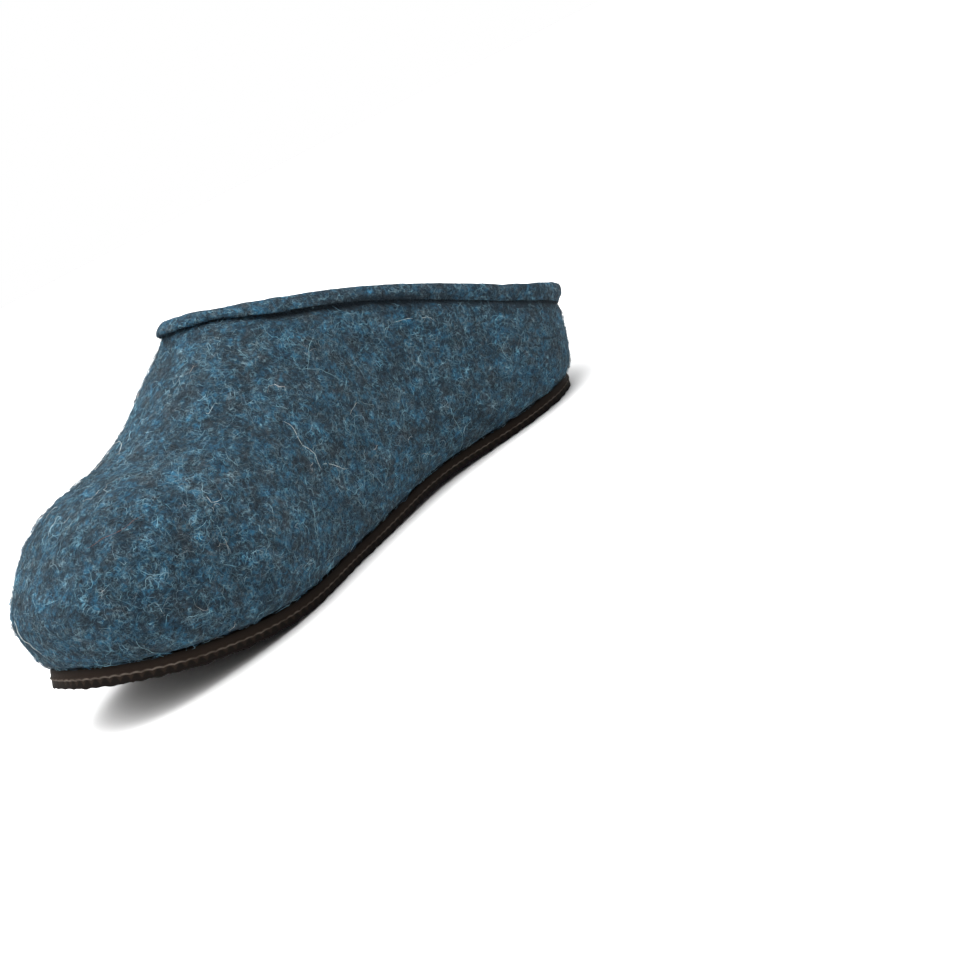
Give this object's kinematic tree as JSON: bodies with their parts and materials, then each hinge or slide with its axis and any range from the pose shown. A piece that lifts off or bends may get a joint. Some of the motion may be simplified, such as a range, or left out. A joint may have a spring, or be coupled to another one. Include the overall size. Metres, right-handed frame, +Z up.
{
  "type": "felt slipper",
  "caption": "Right felt slipper of clog shape: hollow seamless felt upper, low heel cup, bound collar, felt footbed and thin rubber sole with raised tread and toe spring.",
  "frame": {"origin": "bottom centre of the shoe's box, on the floor", "axes": "+Z up, toe toward -Y, heel toward +Y, inner side of the foot toward +X"},
  "size_m": [0.1038, 0.2766, 0.1055],
  "materials": {
    "rubber": "matte dark brown, cut edge, small raised tread cells",
    "felt": "fulled wool, mottled steel blue with grey and brown flecks and curly pale fibres",
    "binding_felt": "thinner wool felt, folded over the collar edge, slightly darker",
    "insole_felt": "flat wool felt, grey blue"
  },
  "bodies": {
    "root": {"outsole": "rubber", "upper": "felt", "collar_binding": "binding_felt", "insole": "insole_felt"}
  },
  "joints": []
}
